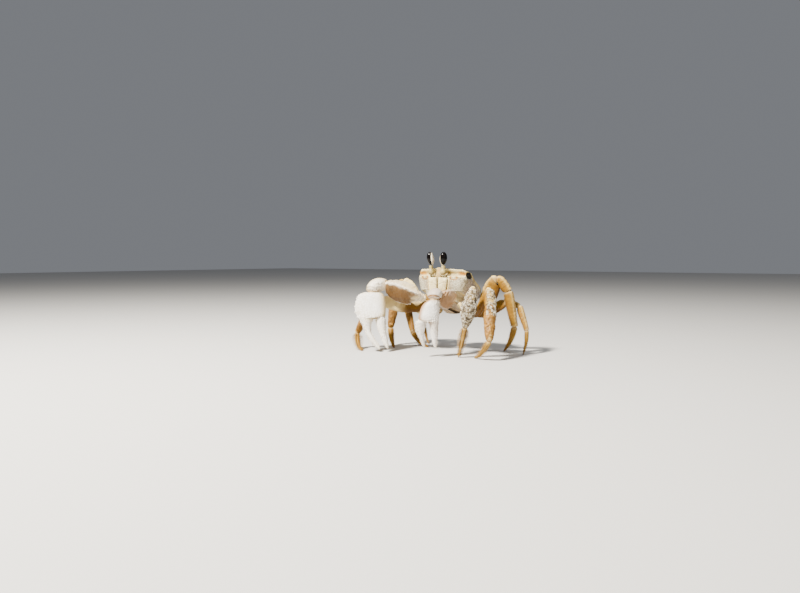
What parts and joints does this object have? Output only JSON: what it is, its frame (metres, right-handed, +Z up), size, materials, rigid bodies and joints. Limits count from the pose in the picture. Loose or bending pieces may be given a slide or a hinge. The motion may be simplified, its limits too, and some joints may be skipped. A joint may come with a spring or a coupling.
{
  "type": "ghost crab",
  "caption": "Life-size still model of a pale sand-coloured ghost crab on its walking legs, eyestalks raised, unequal white claws hanging in front.",
  "frame": {"origin": "on the floor, under the middle of the whole crab's plan outline", "axes": "+Z up; the crab faces -Y, turned a few degrees towards its right; +X is the crab's left"},
  "size_m": [0.1258, 0.0824, 0.0738],
  "materials": {
    "shell": "satin carapace, sand coloured with fine granules",
    "belly": "satin underside plates",
    "mouth": "satin mouth plates with fine hair",
    "claw": "white, faintly pearly shell",
    "leg": "golden, satin, with fringes of hair",
    "stalk": "cream, satin",
    "cornea": "glossy black"
  },
  "bodies": {
    "root": {"carapace": "shell", "sternum": "belly", "abdomen": "belly", "maxilliped_left": "mouth", "eyestalk_left": "stalk", "cornea_left": "cornea", "leg_left_2_merus": "leg", "leg_left_2_carpus": "leg", "leg_left_2_propodus": "leg", "leg_left_2_dactyl": "leg", "leg_left_3_merus": "leg", "leg_left_3_carpus": "leg", "leg_left_3_propodus": "leg", "leg_left_3_dactyl": "leg", "leg_left_4_merus": "leg", "leg_left_4_carpus": "leg", "leg_left_4_propodus": "leg", "leg_left_4_dactyl": "leg", "leg_left_5_merus": "leg", "leg_left_5_carpus": "leg", "leg_left_5_propodus": "leg", "leg_left_5_dactyl": "leg", "claw_left_merus": "claw", "claw_left_carpus": "claw", "claw_left_palm": "claw", "claw_left_finger": "claw", "maxilliped_right": "mouth", "eyestalk_right": "stalk", "cornea_right": "cornea", "leg_right_2_merus": "leg", "leg_right_2_carpus": "leg", "leg_right_2_propodus": "leg", "leg_right_2_dactyl": "leg", "leg_right_3_merus": "leg", "leg_right_3_carpus": "leg", "leg_right_3_propodus": "leg", "leg_right_3_dactyl": "leg", "leg_right_4_merus": "leg", "leg_right_4_carpus": "leg", "leg_right_4_propodus": "leg", "leg_right_4_dactyl": "leg", "leg_right_5_merus": "leg", "leg_right_5_carpus": "leg", "leg_right_5_propodus": "leg", "leg_right_5_dactyl": "leg", "claw_right_merus": "claw", "claw_right_carpus": "claw", "claw_right_palm": "claw", "claw_right_finger": "claw"}
  },
  "joints": []
}
